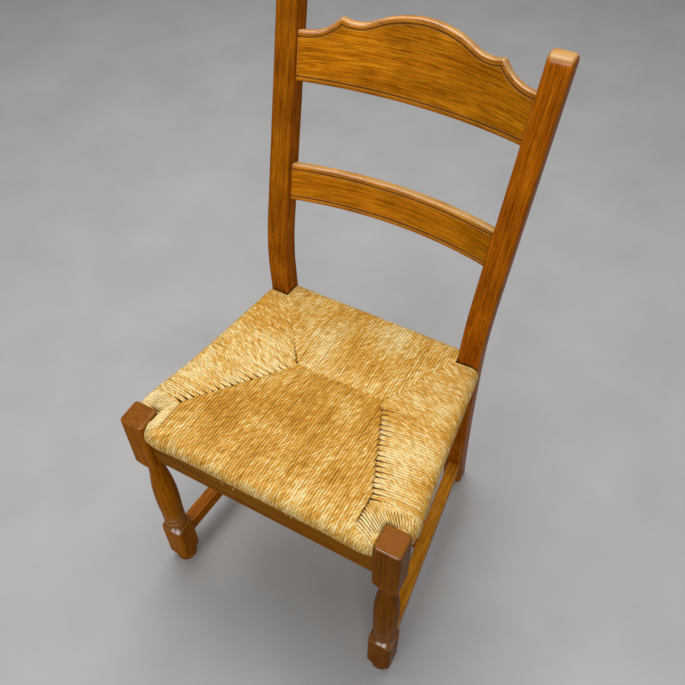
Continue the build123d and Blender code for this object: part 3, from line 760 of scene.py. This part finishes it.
def rush():
    """Twisted dry rush: golden strands, with pale and brown streaks along their twist."""
    n = Nodes("rush_strands")
    tone = n.add("ShaderNodeAttribute", attribute_name="strand_tone").outputs["Fac"]
    fibre = n.add("ShaderNodeAttribute", attribute_name="fibre").outputs["Vector"]
    cos_turn, sin_turn, length = n.split(fibre)
    angle = n.math("MULTIPLY", length, n.range(tone, 0.0, 1.0, TWIST_SLOW, TWIST_FAST))
    wave = n.math("COSINE", angle)
    rise = n.math("SINE", angle)
    lay = n.math("SUBTRACT", n.math("MULTIPLY", cos_turn, wave), n.math("MULTIPLY", sin_turn, rise))
    lie = n.math("ADD", n.math("MULTIPLY", sin_turn, wave), n.math("MULTIPLY", cos_turn, rise))
    twisted = n.join(lay, lie, n.math("MULTIPLY", length, FIBRE_LENGTH))
    streaks = n.noise(twisted, *STREAK_NOISE)
    fine = n.noise(twisted, *FIBRE_NOISE)
    patches = n.noise(n.mapped(n.place(), PATCH_SHIFT), *PATCH_NOISE)
    flecks = n.range(streaks, 0.32, 0.68, -0.10, 0.52)
    mottle = n.math("MULTIPLY_ADD", patches, PATCH_WEIGHT, flecks)
    depth = n.split(n.place())["Y"]
    paler = n.range(depth, FRONT_Y, FRONT_Y + FRONT_PALE_RUN, FRONT_PALE, 0.0)
    blend = n.math("ADD", n.math("MULTIPLY_ADD", tone, TONE_WEIGHT, mottle), paler)
    colour = n.ramp(blend, RUSH_STOPS)
    colour = n.shade(colour, n.ramp(fine, FIBRE_STOPS), FIBRE_SHARE)
    # Painted shade: dark dashes along the crease of the twist
    ply = n.math("ABSOLUTE", lay)
    colour = n.shade(colour, n.ramp(ply, PLY_CREASE_SHADE_STOPS), PLY_CREASE_SHADE_SHARE)
    # Painted shade in the grooves between strands, weaker where the streaks are pale
    gap_shade_share = n.range(streaks, 0.35, 0.62, 1.0, 0.30)
    colour = n.shade(colour, n.ramp(n.hollow(STRAND_GAP_SHADE_REACH), STRAND_GAP_SHADE_STOPS), gap_shade_share)
    n.surface("Base Color", colour)
    n.surface("Roughness", RUSH_ROUGHNESS)
    n.surface("Specular IOR Level", RUSH_SPECULAR)
    n.surface("Normal", n.bump(fine, 0.4, 0.0006, n.bump(ply, 0.4, 0.0009)))
    return n.material


PACKING_STOPS = ((0.3, (0.10, 0.05, 0.012)), (0.7, (0.30, 0.17, 0.05)))
PACKING_NOISE = (60.0, 4.0, 0.6)
PACKING_TURN = (0.4, 0.2, 0.7)
PACKING_STRETCH = (1, 8, 8)
PACKING_ROUGHNESS = 0.8


def rush_packing():
    """Dry rush offcuts inside the seat, seen only through the gaps of the weave."""
    n = Nodes("rush_packing")
    along = n.mapped(n.place(), rotation=PACKING_TURN, scale=PACKING_STRETCH)
    strands = n.noise(along, *PACKING_NOISE)
    n.surface("Base Color", n.ramp(strands, PACKING_STOPS))
    n.surface("Normal", n.bump(strands, 0.6, 0.002))
    n.surface("Roughness", PACKING_ROUGHNESS)
    return n.material


# Stains, each a tint for red, green and blue
HONEY = (1.80, 1.80, 1.25)
AMBER = (1.03, 0.90, 0.7)
RUSSET = (1.08, 0.85, 0.6)
BROWN = (0.82, 0.75, 0.43)
# A darker stain for the right front leg than for the left: painted shade
UMBER_PAINTED_SHADE = (0.47, 0.44, 0.5)
GOLD = (1.40, 1.58, 2.2)
TAWNY = (0.62, 0.62, 0.4)
BARE = (1.0, 1.4, 6.0)

# Grain direction, stain and grain strength of each wooden piece
WOOD = {
    "crest_rail": ("X", HONEY, 0.90), "back_slat": ("X", HONEY, 0.75),
    "rear_post_left": ("Z", AMBER, 0.80), "rear_post_right": ("Z", RUSSET, 0.75),
    # The right front leg's darker stain is painted shade
    "front_leg_left": ("Z", BROWN, 0.35), "front_leg_right": ("Z", UMBER_PAINTED_SHADE, 0.35),
    "front_apron": ("X", TAWNY, 0.45), "cross_stretcher": ("X", AMBER, 0.55),
    "side_stretcher_left": ("Y", AMBER, 0.55), "side_stretcher_right": ("Y", GOLD, 0.60),
    "seat_rail_front": ("X", BARE, 0.60), "seat_rail_rear": ("X", BARE, 0.60),
    "seat_rail_left": ("Y", BARE, 0.60), "seat_rail_right": ("Y", BARE, 0.60),
}


def dress_frame():
    """A wood or packing material for every CAD node but the rush panels."""
    for seed, (node, (axis, stain, strength)) in enumerate(WOOD.items(), 1):
        material = oak(node, axis, seed, stain, strength)
        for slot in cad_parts[node].material_slots:
            slot.material = material
    packing = rush_packing()
    for edge in ("front", "rear", "left", "right"):
        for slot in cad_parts["rush_stuffing_" + edge].material_slots:
            slot.material = packing


# The floor, the sky and the lamps, each lamp as name, place, target, size and power
FLOOR_HALF = 40.0
FLOOR_HEIGHT = -0.0005
FLOOR_STOPS = ((0.3, (0.36, 0.355, 0.35)), (0.7, (0.41, 0.405, 0.40)))
FLOOR_NOISE = (5.0, 6.0)
FLOOR_ROUGHNESS = 0.7
SKY_COLOUR = (0.95, 0.97, 1.0, 1.0)
SKY_STRENGTH = 0.15
LAMPS = (
    ("overhead", (-0.4, 0.5, 3.0), (0.0, 0.0, 0.3), 2.2, 86.0),
    ("front_fill", (1.4, -2.6, 2.6), (0.0, 0.0, 0.5), 1.2, 32.0),
    ("sheen", (-0.3, -3.0, 2.3), (0.0, 0.0, 0.4), 1.4, 28.0),
    ("right_fill", (2.6, -0.4, 2.0), (0.0, 0.0, 0.5), 1.5, 3.0),
)

# The photo's camera, worked out from the chair's own lines
CAMERA_PLACE = (0.37419, FRONT_Y - 0.40677, 1.42742)
CAMERA_RIGHT = Vector((0.875562, 0.482882, -0.014681))
CAMERA_UP = Vector((-0.354366, 0.662598, 0.659840))
CAMERA_SENSOR = 36.0
CAMERA_LENS = 40.33
CAMERA_SHIFT = (0.01397, -0.03083)


def lay_floor():
    """A pale floor under the chair."""
    mesh = bpy.data.meshes.new("floor")
    corners = ((-1, -1), (1, -1), (1, 1), (-1, 1))
    points = [(x * FLOOR_HALF, y * FLOOR_HALF, FLOOR_HEIGHT) for x, y in corners]
    mesh.from_pydata(points, [], [(0, 1, 2, 3)])
    floor = bpy.data.objects.new("floor", mesh)
    bpy.context.scene.collection.objects.link(floor)
    n = Nodes("floor_pale")
    n.surface("Base Color", n.ramp(n.noise(n.place(), *FLOOR_NOISE), FLOOR_STOPS))
    n.surface("Roughness", FLOOR_ROUGHNESS)
    mesh.materials.append(n.material)


def light_studio():
    """Soft light from above, from the front and from the right."""
    world = bpy.data.worlds.new("studio")
    world.use_nodes = True
    background = world.node_tree.nodes["Background"]
    background.inputs["Color"].default_value = SKY_COLOUR
    background.inputs["Strength"].default_value = SKY_STRENGTH
    bpy.context.scene.world = world
    for name, place, target, size, power in LAMPS:
        data = bpy.data.lights.new(name, "AREA")
        data.size = size
        data.energy = power
        lamp = bpy.data.objects.new(name, data)
        lamp.location = place
        lamp.rotation_euler = (Vector(target) - Vector(place)).to_track_quat("-Z", "Y").to_euler()
        bpy.context.scene.collection.objects.link(lamp)


def set_camera():
    """The camera at the photo's angle."""
    data = bpy.data.cameras.new("photo_camera")
    data.sensor_width = CAMERA_SENSOR
    data.lens = CAMERA_LENS
    data.shift_x, data.shift_y = CAMERA_SHIFT
    camera = bpy.data.objects.new("photo_camera", data)
    axes = (CAMERA_RIGHT, CAMERA_UP, CAMERA_RIGHT.cross(CAMERA_UP))
    turn = Matrix(axes).transposed().to_4x4()
    camera.matrix_world = Matrix.Translation(CAMERA_PLACE) @ turn
    bpy.context.scene.collection.objects.link(camera)
    bpy.context.scene.camera = camera
    bpy.context.scene.view_settings.view_transform = "Standard"


dress_frame()
stretcher_bars()
weave_seat(rush())
lay_floor()
light_studio()
set_camera()
